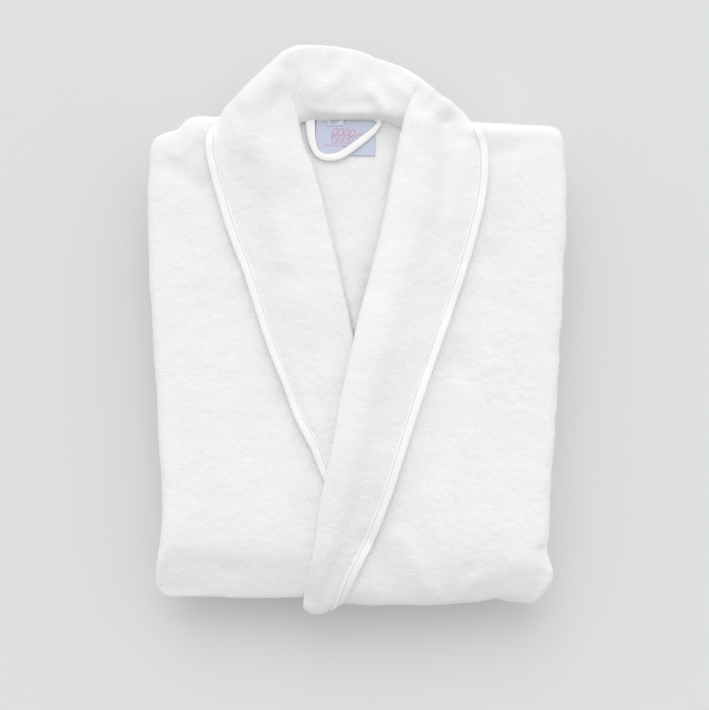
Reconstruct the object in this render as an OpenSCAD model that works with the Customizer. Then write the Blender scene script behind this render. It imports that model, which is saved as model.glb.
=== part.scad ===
// Folded terry bathrobe with a shawl collar, satin piping, hanger loop, label and belt.
// Laid face up and folded in three like a letter: upper third on top, skirt third under it,
// hem third on the table. X is across the chest, Y runs towards the collar, Z is up.

/* [Cloth] */
// thickness of one layer of terry, mm
cloth = 3.2; // [2.6:0.1:3.4]
// distance from one layer to the next in the stack, mm
pitch = 3.5; // [3.5:0.1:3.9]

/* [Folded size] */
// half width at the lower fold, mm
half_low = 163; // [150:1:170]
// how far each side leans out towards the shoulders, degrees
lean = 1.95; // [0:0.05:2.5]
// Y of the lower fold's turning axis, mm
fold_y = -210.4; // [-214:0.1:-206]
// Y of the upper hidden fold's turning axis, mm
knee_y = 148; // [140:1:150]
// Y of the shoulder line at the side, mm
shoulder_y = 167; // [160:1:172]
// Y of the hem's free edge, mm
hem_y = -205; // [-207:1:-195]
// width of the turned hem, mm
hem_w = 36; // [20:1:50]

/* [Sleeves] */
// width of a flattened sleeve, mm
sleeve_w = 150; // [120:1:154]
// depth of the turned cuff, mm
cuff_d = 34; // [20:1:34]

/* [Collar] */
// radius of the roll along a lapel, mm
roll_r = 6.5; // [5:0.5:7]
// radius of the piping, mm
pipe_r = 3; // [2:0.25:3.25]
// height of the crest of the collar above the table, mm
crest_z = 88; // [80:1:92]

/* [Loop and labels] */
// width of the hanger tape, mm
tape_w = 7.5; // [5:0.5:9]
// label width, mm
label_w = 51; // [40:1:60]
// label height, mm
label_h = 29; // [20:1:31]

/* [Belt] */
// width of the belt, mm
belt_w = 38; // [30:1:40]
// folded length of the belt, mm
belt_l = 300; // [240:5:310]

/* [Pockets] */
// pocket width, mm
pocket_w = 122; // [100:1:125]
// pocket height, mm
pocket_h = 150; // [120:1:160]

/* [Hidden] */

white = [0.95, 0.95, 0.94];
satin = [0.98, 0.98, 0.97];
blue = [0.82, 0.85, 0.93];

function lev(k) = k * pitch;
// axis heights: the lower fold turns levels 14..18 into 10..6, the knee turns 10..6 into 0..4
fold_z = (lev(18) + cloth + lev(6)) / 2;
knee_z = (lev(10) + cloth) / 2;
gap = 0.15;
wall = cloth;

// C-shaped section of a layer wrapped round the side edge, as [x, z] points for the right side
function cee(xt, xb, xo, z0, z1, t, n = 6) =
  let (r = (z1 - z0) / 2, zm = (z0 + z1) / 2, ri = max(r - t, 0.12))
  concat([[xt, z1]],
    [for (i = [0:n]) [xo - r + r * sin(180 * i / n), zm + r * cos(180 * i / n)]],
    [[xb, z0], [xb, z0 + t]],
    [for (i = [n:-1:0]) [xo - r + ri * sin(180 * i / n), zm + ri * cos(180 * i / n)]],
    [[xt, z1 - t]]);

// base sections at the levels of the upper third
sec_right = cee(-60, 40, half_low, lev(14), lev(18) + cloth, wall);
sec_left = cee(-60, 40, half_low, lev(14), lev(17) + cloth, wall);
back_x = half_low - wall - 2.6;
sec_back = cee(-20, 45, back_x, lev(15), lev(16) + cloth, wall);

function flip(sec, zc) = [for (p = sec) [p[0], 2 * zc - p[1]]];

// a section run along Y
module run(sec, y0, y1) {
  translate([0, y1, 0]) rotate([90, 0, 0]) linear_extrude(y1 - y0) polygon(sec);
}

// a section turned half a circle about a fold axis, towards -Y or +Y
module turn(sec, yc, zc, way) {
  translate([0, yc, zc]) rotate([way < 0 ? 90 : -90, 0, 0]) rotate([90, 0, 90])
    rotate_extrude(angle = 180, $fn = 64)
      polygon([for (p = sec) [abs(p[1] - zc), p[0]]]);
}

// upper third of one side: the section leans outwards and is cut square at the fold
module upper_side(sec, top_y) {
  intersection() {
    translate([half_low, fold_y, 0]) rotate([0, 0, -lean]) translate([-half_low, -fold_y, 0])
      run(sec, fold_y - 12, top_y);
    translate([-80, fold_y + gap, 0]) cube([300, 420, 100]);
  }
}

// edges of the two lapels seen from above, from the neck down, as [x, y]
roll_right = [[51, 200], [37, 160], [31, 136], [24, 98], [16, 66], [7, 31], [1, 2], [-8, -43],
  [-17, -81], [-26, -122], [-36, -177], [-44, -211]];
roll_left = [[-54, 190], [-45, 152], [-36, 133], [-29, 112], [-19, 78], [-12, 50], [-5, 19],
  [-1, 2], [8, -43], [17, -81], [26, -122], [36, -177], [44, -211]];

module front_right() {
  color(white) difference() {
    union() {
      upper_side(sec_right, shoulder_y);
      // shoulder seam closing the top edge
      translate([half_low, fold_y, 0]) rotate([0, 0, -lean])
        translate([68 - half_low, shoulder_y - fold_y - wall, lev(14)])
          cube([86, wall, lev(18) + wall - lev(14)]);
    }
    translate([0, 0, lev(18) - gap]) linear_extrude(10)
      polygon(concat([[-90, -230]], [[-47, -230]],
        [for (i = [11:-1:0]) [roll_right[i][0] - 1, roll_right[i][1]]], [[-90, 200]]));
  }
}

module front_left() {
  color(white) difference() {
    union() {
      mirror([1, 0, 0]) upper_side(sec_left, shoulder_y);
      mirror([1, 0, 0]) translate([half_low, fold_y, 0]) rotate([0, 0, -lean])
        translate([68 - half_low, shoulder_y - fold_y - wall, lev(14)])
          cube([86, wall, lev(17) + wall - lev(14)]);
    }
    translate([0, 0, lev(17) - gap]) linear_extrude(10)
      polygon(concat([[90, -230]], [[48, -230]],
        [for (i = [12:-1:0]) [roll_left[i][0] + 1, roll_left[i][1]]], [[90, 200]]));
  }
}

// one half of the back, cut to the shoulder line and the neck seam
module back_half() {
  intersection() {
    translate([half_low, fold_y, 0]) rotate([0, 0, -lean]) translate([-half_low, -fold_y, 0])
      run(cee(-40, 45, back_x, lev(15), lev(16) + cloth, wall), fold_y - 12, 200);
    translate([0, 0, 40]) linear_extrude(30) polygon([[0, fold_y + gap], [210, fold_y + gap],
      [210, shoulder_y - 5], [72, shoulder_y - 1], [54, 171], [40, 179], [18, 181], [0, 181]]);
  }
}
module back_panel() {
  color(white) union() {
    back_half();
    mirror([1, 0, 0]) back_half();
  }
}

// the layers where they go round the lower fold
module waist_fold_right() {
  color(white) turn(cee(-46, 40, half_low, lev(14), lev(18) + cloth, wall), fold_y, fold_z, -1);
}
module waist_fold_left() {
  color(white) mirror([1, 0, 0])
    turn(cee(-46, 40, half_low, lev(14), lev(17) + cloth, wall), fold_y, fold_z, -1);
}
module waist_fold_back() {
  color(white) union() {
    turn(sec_back, fold_y, fold_z, -1);
    mirror([1, 0, 0]) turn(sec_back, fold_y, fold_z, -1);
  }
}

// skirt third, face down
sk_right = flip(cee(-46, 40, half_low, lev(14), lev(18) + cloth, wall), fold_z);
sk_left = flip(cee(-46, 40, half_low, lev(14), lev(17) + cloth, wall), fold_z);
sk_back = flip(sec_back, fold_z);
module skirt_right() { color(white) run(sk_right, fold_y + gap, knee_y - gap); }
module skirt_left() { color(white) mirror([1, 0, 0]) run(sk_left, fold_y + gap, knee_y - gap); }
module skirt_back() {
  color(white) union() {
    run(sk_back, fold_y + gap, knee_y - gap);
    mirror([1, 0, 0]) run(sk_back, fold_y + gap, knee_y - gap);
  }
}

// the layers where they go round the hidden knee fold
module knee_fold_right() { color(white) turn(sk_right, knee_y, knee_z, 1); }
module knee_fold_left() { color(white) mirror([1, 0, 0]) turn(sk_left, knee_y, knee_z, 1); }
module knee_fold_back() {
  color(white) union() {
    turn(sk_back, knee_y, knee_z, 1);
    mirror([1, 0, 0]) turn(sk_back, knee_y, knee_z, 1);
  }
}

// hem third, face up on the table
he_right = flip(sk_right, knee_z);
he_left = flip(sk_left, knee_z);
he_back = flip(sk_back, knee_z);
hem_top = hem_y + hem_w;
module hem_right() { color(white) run(he_right, hem_top + gap, knee_y - gap); }
module hem_left() { color(white) mirror([1, 0, 0]) run(he_left, hem_top + gap, knee_y - gap); }
module hem_back() {
  color(white) union() {
    run(he_back, hem_top + gap, knee_y - gap);
    mirror([1, 0, 0]) run(he_back, hem_top + gap, knee_y - gap);
  }
}
// turned and stitched hem along the free edge
module hem_band_right() { color(white) run(he_right, hem_y, hem_top - gap); }
module hem_band_left() { color(white) mirror([1, 0, 0]) run(he_left, hem_y, hem_top - gap); }
module hem_band_back() {
  color(white) union() {
    run(he_back, hem_y, hem_top - gap);
    mirror([1, 0, 0]) run(he_back, hem_y, hem_top - gap);
  }
}

// flattened sleeve folded down behind the back: a tube with round edges
sl_z0 = lev(11);
sl_h = 3 * pitch - 0.3;
sl_x = 8;
sleeve_bot = -118;
module tube2d(w, h, t) {
  difference() {
    hull() {
      translate([h / 2, h / 2]) circle(h / 2, $fn = 32);
      translate([w - h / 2, h / 2]) circle(h / 2, $fn = 32);
    }
    hull() {
      translate([h / 2, h / 2]) circle(h / 2 - t, $fn = 32);
      translate([w - h / 2, h / 2]) circle(h / 2 - t, $fn = 32);
    }
  }
}
module sleeve_run(y0, y1, t) {
  translate([sl_x, y1, sl_z0]) rotate([90, 0, 0]) linear_extrude(y1 - y0)
    tube2d(sleeve_w, sl_h, t);
}
module sleeve() {
  union() {
    sleeve_run(sleeve_bot, 146, wall);
    translate([sl_x + 4, 142, sl_z0 + 3]) cube([sleeve_w - 8, 4, sl_h - 6]);
  }
}
module cuff() { sleeve_run(sleeve_bot - 3.6 - cuff_d, sleeve_bot - 3.6, wall + 0.6); }
module cuff_pipe() { sleeve_run(sleeve_bot - 3.3, sleeve_bot - 0.3, wall); }
module sleeve_right() { color(white) sleeve(); }
module sleeve_left() { color(white) mirror([1, 0, 0]) sleeve(); }
module cuff_right() { color(white) cuff(); }
module cuff_left() { color(white) mirror([1, 0, 0]) cuff(); }
module cuff_piping_right() { color(satin) cuff_pipe(); }
module cuff_piping_left() { color(satin) mirror([1, 0, 0]) cuff_pipe(); }

// piping lines seen from above, from the shoulder down
pipe_left_line = [[-123, 168], [-126, 158], [-123, 143], [-118, 124], [-113, 106], [-107, 90],
  [-99, 73], [-92, 56], [-84, 33], [-76, 0], [-65, -29], [-54, -55], [-41, -86], [-33, -104]];
pipe_right_line = [[104, 168], [109, 160], [110, 148], [109, 124], [104, 102], [98, 78],
  [91, 50], [81, 26], [73, 2], [69, -14], [55, -45], [43, -81], [31, -122], [19, -155],
  [5, -186], [-8, -210]];

module bead(x, y, z, r, n = 12) { translate([x, y, z]) sphere(r, $fn = n); }

// a rod through a list of [x, y], lying on height z
module rod(line, z, r) {
  for (i = [0:len(line) - 2]) hull() {
    bead(line[i][0], line[i][1], z + r, r, 14);
    bead(line[i + 1][0], line[i + 1][1], z + r, r, 14);
  }
}
module piping_left() { color(satin) rod(pipe_left_line, lev(17) + cloth + 0.3, pipe_r); }
module piping_right() { color(satin) rod(pipe_right_line, lev(18) + cloth + 0.3, pipe_r); }

// lapel stations: [roll x, roll y, edge x, edge y, lift of the roll]
lap_left = [[-62, 230, -72, 222, 9], [-60, 214, -97, 198, 8], [-57, 198, -110, 184, 6],
  [-53, 184, -116, 168, 4], [-47, 158, -118, 154, 2], [-36, 133, -114, 138, 0],
  [-29, 112, -110, 117, 0], [-19, 78, -97, 88, 0], [-12, 50, -84, 55, 0],
  [-5, 19, -75, 22, 0], [-1, 2, -67, -5, 0], [8, -43, -48, -48, 0], [10, -90, -30, -88, 0]];
lap_right = [[56, 212, 66, 206, 7], [53, 202, 82, 194, 7], [50, 192, 92, 182, 5],
  [44, 178, 97, 168, 3], [37, 160, 101, 156, 1], [31, 136, 101, 140, 0],
  [24, 98, 96, 100, 0], [16, 66, 87, 70, 0], [7, 31, 76, 36, 0], [1, 2, 65, 2, 0],
  [-8, -43, 49, -46, 0], [-17, -81, 35, -84, 0], [-26, -122, 23, -124, 0],
  [-36, -177, 0, -178, 0], [-42, -206, -16, -207, 0]];

module lapel(st, z, r_edge) {
  for (i = [0:len(st) - 2]) hull() for (k = [0, 1]) let (s = st[i + k],
      d = norm([s[2] - s[0], s[3] - s[1]]), u = [(s[2] - s[0]) / d, (s[3] - s[1]) / d]) {
    bead(s[0] + u[0] * roll_r, s[1] + u[1] * roll_r, z + roll_r + s[4], roll_r);
    bead(s[2], s[3], z + r_edge + s[4] * 0.6, r_edge);
  }
}
module lapel_left() {
  color(white) difference() {
    lapel(lap_left, lev(17) + cloth + 0.3, 2.6);
    translate([0, 0, 50]) linear_extrude(60)
      polygon([[16, 60], [5.2, 31], [-0.8, 2], [-9.8, -43], [-18.8, -81], [-27.8, -122], [60, -122],
        [60, 60]]);
  }
}
module lapel_right() { color(white) lapel(lap_right, lev(18) + cloth + 0.3, 2.6); }

// the lapel's pointed end, bent round the lower fold
module round_fold(x0, a0, x1, a1, r) {
  rr = lev(18) + cloth + 0.3 - fold_z + r;
  hull() {
    bead(x0, fold_y - 1 - rr * sin(a0), fold_z + rr * cos(a0), r);
    bead(x1, fold_y - 1 - rr * sin(a1), fold_z + rr * cos(a1), r);
  }
}
module lapel_tip() {
  color(white) for (a = [12:16:60]) hull() {
    round_fold(-40 - a * 0.04, a, -40.6 - a * 0.04, a + 16, 4.3);
    round_fold(-22 - a * 0.16, a, -24.5 - a * 0.16, a + 16, 2.6);
  }
}
module piping_tip() {
  color(satin) for (a = [12:13:76]) hull()
    round_fold(-13 - a * 0.16, a, -15 - a * 0.16, a + 13, pipe_r);
}

// collar round the back of the neck: stand, roll over the crest, and the fall behind it
arch = [[-54, 234, 0], [-38, 237, 1], [-14, 236, 2], [12, 231, 2], [32, 224, 1], [46, 215, 0]];
module collar_back() {
  color(white) for (i = [0:len(arch) - 2]) {
    hull() for (k = [0, 1]) let (p = arch[i + k]) {
      bead(p[0] * 0.86, 185, lev(16) + cloth, 3.4);
      bead(p[0], p[1] - 0.5, crest_z - 8 + p[2], 5.6);
    }
    hull() for (k = [0, 1]) let (p = arch[i + k]) {
      bead(p[0], p[1] - 0.5, crest_z - 8 + p[2], 5.6);
      bead(p[0] * 1.1, 196, lev(13), 3.4);
    }
  }
}
module piping_back() {
  color(satin) translate([-58, 189, lev(11) + 3.8]) rotate([0, 90, 0])
    cylinder(110, pipe_r, pipe_r, $fn = 24);
}

// woven label, size tab and hanger tape on the inside of the back neck
lab_z = lev(16) + cloth + 0.1;
module label() {
  color(blue) translate([-9, 163, lab_z]) rotate([0, 0, -2])
    translate([-label_w / 2, -label_h / 2, 0]) cube([label_w, label_h, 0.7]);
}
module size_tab() {
  color(satin) translate([-24.6, 173.4, lab_z + 1.0]) cube([14, 6, 0.7]);
}
// the tape runs down from the left end, turns, and climbs to the right end
module hanger_loop() {
  a = [-40, 176];
  m = [-26, 147.5];
  b = [19, 174.5];
  color(satin) translate([0, 0, lab_z + 1.0]) linear_extrude(1.2) union() {
    for (e = [a, b]) let (d = norm(m - e), ang = atan2(m[1] - e[1], m[0] - e[0]))
      translate(e) rotate(ang) translate([0, -tape_w / 2]) square([d, tape_w]);
    translate(m) circle(tape_w / 2, $fn = 32);
  }
}

// belt folded in three layers, threaded through two loops behind the waist
belt_y = fold_y + 25.5;
belt_t = 2.5;
belt_p = 2.8;
module belt() {
  color(white) translate([0, belt_y + belt_w / 2, lev(11) + 1.6]) rotate([90, 0, 0])
    linear_extrude(belt_w) union() {
      for (k = [0, 1, 2]) translate([-belt_l / 2, k * belt_p]) square([belt_l, belt_t]);
      translate([belt_l / 2 - 2.5, 0]) square([2.5, belt_p + belt_t]);
      translate([-belt_l / 2, belt_p]) square([2.5, belt_p + belt_t]);
    }
}
module belt_strap(x) {
  translate([x - 4, belt_y - belt_w / 2 - 2, lev(11)]) difference() {
    cube([8, belt_w + 4, 3 * pitch - 0.05]);
    translate([-1, 1.2, 1.2]) cube([10, belt_w + 1.6, 12]);
  }
}
module belt_loop_left() { color(white) belt_strap(-72); }
module belt_loop_right() { color(white) belt_strap(72); }

// patch pockets on the outside of the skirt, which faces down
module pocket(x0) {
  translate([x0, -150, lev(5)]) linear_extrude(cloth) polygon([[0, 0], [pocket_w, 0],
    [pocket_w, pocket_h - 14], [pocket_w - 14, pocket_h], [14, pocket_h], [0, pocket_h - 14]]);
}
module pocket_right() { color(white) pocket(26); }
module pocket_left() { color(white) mirror([1, 0, 0]) pocket(26); }
module pocket_trim() {
  translate([26, -150 - 3.4, lev(5) + 0.1]) cube([pocket_w, 3.1, cloth - 0.2]);
}
module pocket_piping_right() { color(satin) pocket_trim(); }
module pocket_piping_left() { color(satin) mirror([1, 0, 0]) pocket_trim(); }

back_panel();
front_left();
front_right();
waist_fold_back();
waist_fold_left();
waist_fold_right();
skirt_back();
skirt_left();
skirt_right();
knee_fold_back();
knee_fold_left();
knee_fold_right();
hem_back();
hem_left();
hem_right();
hem_band_back();
hem_band_left();
hem_band_right();
sleeve_left();
sleeve_right();
cuff_left();
cuff_right();
cuff_piping_left();
cuff_piping_right();
collar_back();
lapel_left();
lapel_right();
lapel_tip();
piping_left();
piping_right();
piping_back();
piping_tip();
hanger_loop();
label();
size_tab();
belt();
belt_loop_left();
belt_loop_right();
pocket_left();
pocket_right();
pocket_piping_left();
pocket_piping_right();
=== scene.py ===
import bpy, math
import numpy as np
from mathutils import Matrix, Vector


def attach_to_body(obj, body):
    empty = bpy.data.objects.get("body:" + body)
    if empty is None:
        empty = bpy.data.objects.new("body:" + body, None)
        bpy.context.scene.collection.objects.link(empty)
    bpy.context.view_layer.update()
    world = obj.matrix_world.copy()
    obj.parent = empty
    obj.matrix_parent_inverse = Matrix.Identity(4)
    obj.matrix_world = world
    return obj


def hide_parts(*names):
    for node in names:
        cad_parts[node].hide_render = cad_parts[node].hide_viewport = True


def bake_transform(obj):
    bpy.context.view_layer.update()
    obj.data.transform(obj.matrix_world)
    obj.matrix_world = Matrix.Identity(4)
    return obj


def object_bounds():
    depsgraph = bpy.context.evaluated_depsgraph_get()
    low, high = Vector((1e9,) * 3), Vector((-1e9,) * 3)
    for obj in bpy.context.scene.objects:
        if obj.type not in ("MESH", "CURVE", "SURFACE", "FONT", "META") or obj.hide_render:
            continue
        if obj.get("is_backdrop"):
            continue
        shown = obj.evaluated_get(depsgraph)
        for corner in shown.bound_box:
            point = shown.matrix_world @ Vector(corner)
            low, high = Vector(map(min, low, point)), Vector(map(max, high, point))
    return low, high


# A folded terry bathrobe. Shapes are in millimetres, and mesh() writes them in metres. Left and right are
# the viewer's.
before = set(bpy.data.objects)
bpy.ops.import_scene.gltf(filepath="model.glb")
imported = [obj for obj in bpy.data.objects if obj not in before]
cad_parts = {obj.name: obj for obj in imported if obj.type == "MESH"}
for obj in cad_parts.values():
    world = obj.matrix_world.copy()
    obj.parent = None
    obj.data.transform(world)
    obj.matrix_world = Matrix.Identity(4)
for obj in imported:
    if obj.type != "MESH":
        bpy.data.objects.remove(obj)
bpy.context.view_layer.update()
GRAIN = 1.0

# ---------------- camera, light, floor
LENS_MM, SENSOR_MM = 85, 36
CAMERA_AT = (-0.0013, -0.0213, 1.484)
SKY_WAY, SKY_SLOPE, SKY_LEVEL = (0.08, 0.80, 0.0), 0.46, 0.838
SUN_POWER, SUN_WIDTH_DEG, SUN_TILT_DEG = 0.61, 44, (-46, -6)
FLOOR_TONE, FLOOR_SIZE, FLOOR_Z = 0.770, 30, -0.0004

scene = bpy.context.scene
cam = bpy.data.objects.new("camera", bpy.data.cameras.new("camera"))
scene.collection.objects.link(cam)
cam.data.lens, cam.data.sensor_width = LENS_MM, SENSOR_MM
cam.location = CAMERA_AT
cam.rotation_euler = (0, 0, 0)
scene.camera = cam
scene.view_settings.view_transform = "Standard"

world = bpy.data.worlds.new("studio")
scene.world = world
world.use_nodes = True
sky = world.node_tree
back_light = sky.nodes["Background"]
back_light.inputs["Color"].default_value = (1.0, 1.0, 1.0, 1)
# an even white sky, brighter towards the collar's end and a little to the right
way = sky.nodes.new("ShaderNodeTexCoord")
dot = sky.nodes.new("ShaderNodeVectorMath")
dot.operation = "DOT_PRODUCT"
dot.inputs[1].default_value = SKY_WAY
grade = sky.nodes.new("ShaderNodeMath")
grade.operation = "MULTIPLY_ADD"
grade.inputs[1].default_value = SKY_SLOPE
grade.inputs[2].default_value = SKY_LEVEL
sky.links.new(way.outputs["Generated"], dot.inputs[0])
sky.links.new(dot.outputs["Value"], grade.inputs[0])
sky.links.new(grade.outputs[0], back_light.inputs["Strength"])
sun = bpy.data.objects.new("key", bpy.data.lights.new("key", "SUN"))
sun.data.energy = SUN_POWER
sun.data.angle = math.radians(SUN_WIDTH_DEG)
sun.rotation_euler = (math.radians(SUN_TILT_DEG[0]), math.radians(SUN_TILT_DEG[1]), 0)
scene.collection.objects.link(sun)


def material(name, color, rough, spec=0.3, sheen=0.0):
    """A plain material, with its node tree and its shader."""
    m = bpy.data.materials.new(name)
    m.use_nodes = True
    shader = m.node_tree.nodes["Principled BSDF"]
    shader.inputs["Base Color"].default_value = (*color, 1)
    shader.inputs["Roughness"].default_value = rough
    shader.inputs["Specular IOR Level"].default_value = spec
    shader.inputs["Sheen Weight"].default_value = sheen
    shader.inputs["Sheen Roughness"].default_value = 0.6
    return m, m.node_tree, shader


floor_mat, _, _ = material("floor", (FLOOR_TONE, FLOOR_TONE, FLOOR_TONE), 0.95, 0.1)
bpy.ops.mesh.primitive_plane_add(size=FLOOR_SIZE, location=(0, 0, FLOOR_Z))
floor = bpy.context.object
floor.name = "floor"
floor.data.materials.append(floor_mat)
floor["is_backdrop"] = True


# ---------------- materials
def node(tree, kind, **props):
    """A new node. Each of props goes to the input of that name, or else to the attribute."""
    n = tree.nodes.new(kind)
    for key, value in props.items():
        if key in n.inputs:
            n.inputs[key].default_value = value
        else:
            setattr(n, key, value)
    return n


def weighted_sum(tree, first, weight, second):
    """The value of first * weight + second."""
    n = node(tree, "ShaderNodeMath", operation="MULTIPLY_ADD")
    n.inputs[1].default_value = weight
    tree.links.new(first, n.inputs[0])
    tree.links.new(second, n.inputs[2])
    return n.outputs[0]


def bump(tree, height, strength, distance, under=None):
    """The normals of a bumpy surface, on top of the bumps of under."""
    n = node(tree, "ShaderNodeBump", Strength=strength, Distance=distance)
    tree.links.new(height, n.inputs["Height"])
    if under is not None:
        tree.links.new(under, n.inputs["Normal"])
    return n.outputs["Normal"]


def colour_ramp(tree, shader, source, tint, dark, light=1.0, dark_at=0.0):
    """Base colour that goes from tint * dark, where source is dark_at, to tint * light, where it is 1."""
    ramp = node(tree, "ShaderNodeValToRGB")
    low, high = ramp.color_ramp.elements
    low.position = dark_at
    low.color = (*[c * dark for c in tint], 1)
    high.color = (*[min(1.0, c * light) for c in tint], 1)
    tree.links.new(source, ramp.inputs["Fac"])
    tree.links.new(ramp.outputs["Color"], shader.inputs["Base Color"])


def terry(name, tint=(0.912, 0.912, 0.909)):
    """Cut-pile towelling: tufts about 1.2 mm across, patches of leaning pile, soft sheen."""
    m, tree, shader = material(name, tint, 0.97, 0.12, 0.12)
    coords = node(tree, "ShaderNodeTexCoord")
    tuft = node(tree, "ShaderNodeTexVoronoi", Scale=780.0, Randomness=1.0)
    fine_pile = node(tree, "ShaderNodeTexNoise", Scale=1500.0, Detail=3.0, Roughness=0.65)
    lean = node(tree, "ShaderNodeTexNoise", Scale=190.0, Detail=4.0, Roughness=0.62)
    patch = node(tree, "ShaderNodeTexNoise", Scale=38.0, Detail=3.0, Roughness=0.55)
    for n in (tuft, fine_pile, lean, patch):
        tree.links.new(coords.outputs["Object"], n.inputs["Vector"])
    tufts = weighted_sum(tree, fine_pile.outputs["Fac"], 0.55, tuft.outputs["Distance"])
    small = bump(tree, tufts, 0.31, 0.0009)
    large = bump(tree, lean.outputs["Fac"], 0.32, 0.0016, under=small)
    tree.links.new(large, shader.inputs["Normal"])
    mix = node(tree, "ShaderNodeMath", operation="ADD")
    tree.links.new(patch.outputs["Fac"], mix.inputs[0])
    tree.links.new(lean.outputs["Fac"], mix.inputs[1])
    colour_ramp(tree, shader, mix.outputs[0], tint, 0.982, 1.01, dark_at=0.70)
    return m


def satin(name, tint=(0.985, 0.985, 0.982)):
    """Satin-weave tape: fine slanted ribs and a soft sheen."""
    m, tree, shader = material(name, tint, 0.42, 0.45, 0.25)
    coords = node(tree, "ShaderNodeTexCoord")
    rib = node(tree, "ShaderNodeTexWave", Scale=420.0, Distortion=0.6, Detail=1.0)
    rib.bands_direction = "DIAGONAL"
    weave = node(tree, "ShaderNodeTexNoise", Scale=900.0, Detail=2.0)
    for n in (rib, weave):
        tree.links.new(coords.outputs["Object"], n.inputs["Vector"])
    ribs = weighted_sum(tree, weave.outputs["Fac"], 0.5, rib.outputs["Fac"])
    tree.links.new(bump(tree, ribs, 0.16, 0.0002), shader.inputs["Normal"])
    colour_ramp(tree, shader, weave.outputs["Fac"], tint, 0.975)
    return m


def woven(name, tint, scale=1.0):
    """Flat woven tape of a label: crossing threads."""
    m, tree, shader = material(name, tint, 0.7, 0.25, 0.1)
    coords = node(tree, "ShaderNodeTexCoord")
    warp_threads = node(tree, "ShaderNodeTexWave", Scale=900.0 * scale, Distortion=0.3)
    weft_threads = node(tree, "ShaderNodeTexWave", Scale=900.0 * scale, Distortion=0.3)
    weft_threads.bands_direction = "Y"
    cross = node(tree, "ShaderNodeMath", operation="MULTIPLY")
    for n, slot_in in ((warp_threads, cross.inputs[0]), (weft_threads, cross.inputs[1])):
        tree.links.new(coords.outputs["Object"], n.inputs["Vector"])
        tree.links.new(n.outputs["Fac"], slot_in)
    tree.links.new(bump(tree, cross.outputs[0], 0.25, 0.0002), shader.inputs["Normal"])
    colour_ramp(tree, shader, cross.outputs[0], tint, 0.9)
    return m


TERRY = terry("terry")
SATIN = satin("satin")
LABEL = woven("label_weave", (0.68, 0.73, 0.88))
LABEL_THREAD = woven("label_thread", (0.86, 0.42, 0.60), 1.6)
TAB = woven("tab_weave", (0.80, 0.85, 0.95))
TAB_THREAD = woven("tab_thread", (0.25, 0.29, 0.45), 1.6)
THREAD = satin("thread", (0.90, 0.90, 0.895))


# ---------------- noise and interpolation
def noise(p, scale, seed=0):
    """Smooth noise from -1 to 1 at the points p, with features about scale mm wide, from values hashed at the
    corners of the cell round each point."""
    q = np.asarray(p, float) / scale + np.array([seed * 7.13, seed * 3.71, seed * 5.29])
    i = np.floor(q).astype(np.int64)
    f = q - i
    f = f * f * f * (f * (f * 6 - 15) + 10)
    out = np.zeros(q.shape[:-1])
    for a in (0, 1):
        for b in (0, 1):
            for c in (0, 1):
                cell = i + (a, b, c)
                h = (cell[..., 0] * 73856093) ^ (cell[..., 1] * 19349663) ^ (cell[..., 2] * 83492791)
                h = (h ^ (seed * 2654435761)) & 0xFFFFFFFF
                h = ((h ^ (h >> 15)) * 2246822519) & 0xFFFFFFFF
                h = ((h ^ (h >> 13)) * 3266489917) & 0xFFFFFFFF
                h = h ^ (h >> 16)
                share = np.where((a, b, c), f, 1 - f)
                out += share[..., 0] * share[..., 1] * share[..., 2] * (h / 2147483647.5 - 1)
    return out


def fbm(p, scale, octaves, seed):
    """Noise with finer noise on it, each octave half as wide and half as high as the one before."""
    return sum(noise(p, scale / 2 ** k, seed + k) / 2 ** k for k in range(octaves)) / 1.6


def smooth(x, a, b):
    """An S-shaped ramp from 0 at a to 1 at b."""
    t = np.clip((x - a) / (b - a), 0, 1)
    return t * t * (3 - 2 * t)


def hermite(t, knots, Y):
    """Smooth curve through Y at the knots, read at t."""
    knots, Y = np.asarray(knots, float), np.asarray(Y, float)
    d = np.diff(knots)
    s = np.diff(Y, axis=0) / d.reshape(-1, *[1] * (Y.ndim - 1))
    m = np.empty_like(Y)
    m[0], m[-1] = s[0], s[-1]
    w = (d[1:] / (d[:-1] + d[1:])).reshape(-1, *[1] * (Y.ndim - 1))
    m[1:-1] = s[:-1] * w + s[1:] * (1 - w)
    i = np.clip(np.searchsorted(knots, t, side="right") - 1, 0, len(d) - 1)
    h = d[i].reshape(-1, *[1] * (Y.ndim - 1))
    u = ((t - knots[i]) / d[i]).reshape(-1, *[1] * (Y.ndim - 1))
    return ((2 * u**3 - 3 * u**2 + 1) * Y[i] + (u**3 - 2 * u**2 + u) * h * m[i]
            + (-2 * u**3 + 3 * u**2) * Y[i + 1] + (u**3 - u**2) * h * m[i + 1])


def table(rows):
    """A function that reads rows of (place, value), with straight lines between them."""
    r = np.array(sorted(rows), float)
    return lambda at: np.interp(at, r[:, 0], r[:, 1])


# ---------------- sizes of the folded pack
# the stack has a layer of cloth at every level, CLOTH thick and PITCH apart
CLOTH, PITCH = 3.2, 3.5
RIGHT_LEVEL, LEFT_LEVEL, BACK_LEVEL, BACK_SIDE_LEVEL, FRONT_SIDE_LEVEL = 18, 17, 16, 15, 14
# the lower fold and the knee fold, and where the hem ends
FOLD_Y, KNEE_Y, HEM_Y, HEM_WIDTH = -210.4, 148.0, -205.0, 36.0
# radii at which the two folds' lengths are measured
FOLD_RADIUS, KNEE_RADIUS = 18, 12


def level_z(level):
    """Height of the underside of one level."""
    return level * PITCH


FOLD_Z = (level_z(RIGHT_LEVEL) + CLOTH + level_z(6)) / 2
KNEE_Z = (level_z(10) + CLOTH) / 2
FOLD_LENGTH, SKIRT_LENGTH, KNEE_LENGTH = math.pi * FOLD_RADIUS, KNEE_Y - FOLD_Y, math.pi * KNEE_RADIUS

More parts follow.
